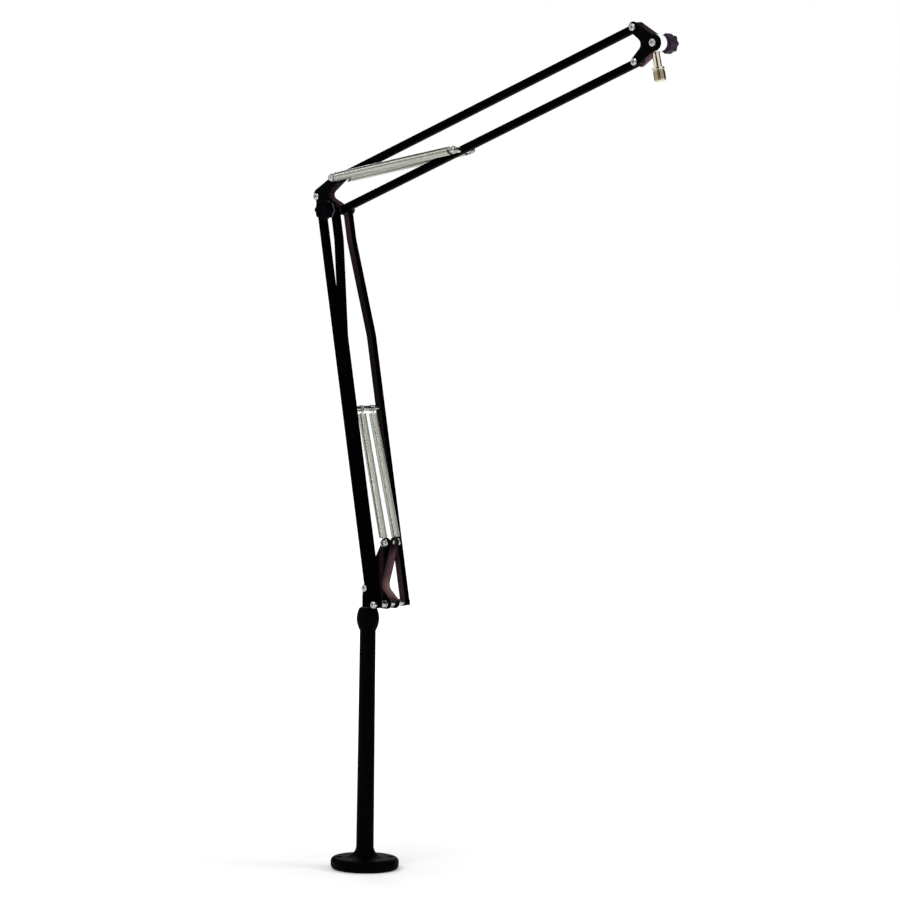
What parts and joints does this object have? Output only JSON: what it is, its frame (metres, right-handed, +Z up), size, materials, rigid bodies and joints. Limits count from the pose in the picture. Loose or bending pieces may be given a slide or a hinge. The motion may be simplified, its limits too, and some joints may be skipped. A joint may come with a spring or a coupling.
{
  "type": "microphone boom arm",
  "caption": "Balanced microphone boom arm: a screwed-down riser with a swivel, parallelogram arms of square tube held by springs, and a tilting threaded stud.",
  "frame": {"origin": "centre of the underside of the riser's round flange", "axes": "+Z up along the riser, +X the way the boom reaches, +Y across the arm along its pivots"},
  "size_m": [0.597, 0.094, 1.1531],
  "materials": {
    "black_paint": "semi-gloss black paint",
    "zinc_steel": "bright zinc plate",
    "spring_wire": "bright spring wire",
    "black_nylon": "moulded nylon",
    "knob_plastic": "moulded plastic, fine texture",
    "white_nylon": "turned white nylon",
    "brass": "nickel-washed brass, turned"
  },
  "bodies": {
    "riser": {"riser_column": "black_paint", "swivel_collar": "black_paint", "swivel_bush": "black_nylon"},
    "base_bracket": {"swivel_spindle": "black_paint", "base_plate_near": "black_paint", "base_plate_far": "black_paint", "base_axle": "zinc_steel", "base_axle_nuts": "zinc_steel", "base_axle_sleeves": "zinc_steel", "base_axle_washers": "black_nylon", "base_plate_spacer": "zinc_steel", "rear_pivot_screw": "zinc_steel", "rear_pivot_nut": "zinc_steel", "rear_pivot_washers": "black_nylon", "spring_studs": "zinc_steel"},
    "lower_arm": {"lower_tube_near": "black_paint", "lower_tube_far": "black_paint", "lower_tube_plugs": "black_nylon", "lower_spring_pin": "zinc_steel", "lower_pin_sleeves": "zinc_steel"},
    "rear_link": {"rear_link_tube": "black_paint", "rear_link_plugs": "black_nylon"},
    "elbow": {"elbow_plate_near": "black_paint", "elbow_plate_far": "black_paint", "elbow_axle": "zinc_steel", "elbow_axle_nut": "black_paint", "elbow_washers": "black_nylon", "elbow_link_screw": "zinc_steel", "elbow_link_nut": "zinc_steel", "spring_axle": "zinc_steel", "spring_axle_sleeves": "zinc_steel"},
    "elbow_knob": {"elbow_knob": "knob_plastic"},
    "boom_lower": {"boom_tube_lower": "black_paint", "boom_tube_lower_plugs": "black_nylon", "boom_spring_pin": "zinc_steel", "boom_pin_sleeves": "zinc_steel"},
    "boom_upper": {"boom_tube_upper": "black_paint", "boom_tube_upper_plugs": "black_nylon"},
    "head": {"head_plate_near": "black_paint", "head_plate_far": "black_paint", "head_pivot_screws": "zinc_steel", "head_pivot_nuts": "zinc_steel", "head_pivot_washers": "black_nylon", "head_clamp_bolt": "zinc_steel"},
    "head_knob": {"head_knob": "knob_plastic"},
    "mic_swivel": {"swivel_barrel": "white_nylon", "mic_stud": "brass"},
    "lower_springs": {"lower_spring_near": "spring_wire", "lower_spring_far": "spring_wire"},
    "lower_rollers": {"lower_spring_rollers": "zinc_steel"},
    "boom_springs": {"boom_spring_near": "spring_wire", "boom_spring_far": "spring_wire"},
    "boom_rollers": {"boom_spring_rollers": "zinc_steel"}
  },
  "joints": [
    {"name": "base_swivel", "type": "hinge", "parent": "riser", "child": "base_bracket", "pos_m": [0, 0, 0.345], "axis": [0, 0, 1], "continuous": true},
    {"name": "lower_tilt", "type": "hinge", "parent": "base_bracket", "child": "lower_arm", "pos_m": [0.0414, 0, 0.3707], "axis": [0, 1, 0], "range_deg": [-30, 55]},
    {"name": "rear_link_turn", "type": "hinge", "parent": "base_bracket", "child": "rear_link", "pos_m": [0.0017, 0, 0.38895], "axis": [0, 1, 0], "range_deg": [-30.05, 55.05]},
    {"name": "elbow_level", "type": "hinge", "parent": "lower_arm", "child": "elbow", "pos_m": [-0.05811, 0, 0.90552], "axis": [0, 1, 0], "range_deg": [-55.05, 30.05]},
    {"name": "boom_tilt", "type": "hinge", "parent": "elbow", "child": "boom_lower", "pos_m": [-0.05811, 0, 0.90552], "axis": [0, 1, 0], "range_deg": [-40, 45]},
    {"name": "boom_link_turn", "type": "hinge", "parent": "elbow", "child": "boom_upper", "pos_m": [-0.06183, 0, 0.95008], "axis": [0, 1, 0], "range_deg": [-40.05, 45.05]},
    {"name": "head_level", "type": "hinge", "parent": "boom_lower", "child": "head", "pos_m": [0.44945, 0, 1.10127], "axis": [0, 1, 0], "range_deg": [-45.05, 40.05]},
    {"name": "mic_tilt", "type": "hinge", "parent": "head", "child": "mic_swivel", "pos_m": [0.48015, 0, 1.12527], "axis": [0, 1, 0], "range_deg": [-180, 12]},
    {"name": "elbow_knob_turn", "type": "hinge", "parent": "elbow", "child": "elbow_knob", "pos_m": [-0.05811, 0, 0.90552], "axis": [0, 1, 0], "continuous": true},
    {"name": "head_knob_turn", "type": "hinge", "parent": "head", "child": "head_knob", "pos_m": [0.48015, 0, 1.12527], "axis": [0, 1, 0], "continuous": true},
    {"name": "lower_spring_swing", "type": "hinge", "parent": "base_bracket", "child": "lower_springs", "pos_m": [0.0389, 0, 0.4532], "axis": [0, 1, 0], "range_deg": [-40.55, 74.29], "deforming": ["lower_spring_near", "lower_spring_far"]},
    {"name": "lower_roller_turn", "type": "hinge", "parent": "lower_arm", "child": "lower_rollers", "pos_m": [-0.00781, 0, 0.63516], "axis": [0, 1, 0], "range_deg": [-10.55, 19.29]},
    {"name": "boom_spring_swing", "type": "hinge", "parent": "elbow", "child": "boom_springs", "pos_m": [-0.06183, 0, 0.95008], "axis": [0, 1, 0], "range_deg": [-40.77, 45.86], "deforming": ["boom_spring_near", "boom_spring_far"]},
    {"name": "boom_roller_turn", "type": "hinge", "parent": "boom_lower", "child": "boom_rollers", "pos_m": [0.15611, 0, 0.98814], "axis": [0, 1, 0], "range_deg": [-0.77, 0.86]}
  ],
  "couplings": [
    {"joint": "rear_link_turn", "follows": "lower_tilt", "ratio": 1},
    {"joint": "elbow_level", "follows": "lower_tilt", "ratio": -1},
    {"joint": "lower_spring_swing", "follows": "lower_tilt", "ratio": 1.3499},
    {"joint": "lower_roller_turn", "follows": "lower_tilt", "ratio": 0.3499},
    {"joint": "boom_link_turn", "follows": "boom_tilt", "ratio": 1},
    {"joint": "head_level", "follows": "boom_tilt", "ratio": -1},
    {"joint": "boom_spring_swing", "follows": "boom_tilt", "ratio": 1.0181},
    {"joint": "boom_roller_turn", "follows": "boom_tilt", "ratio": 0.0181}
  ]
}
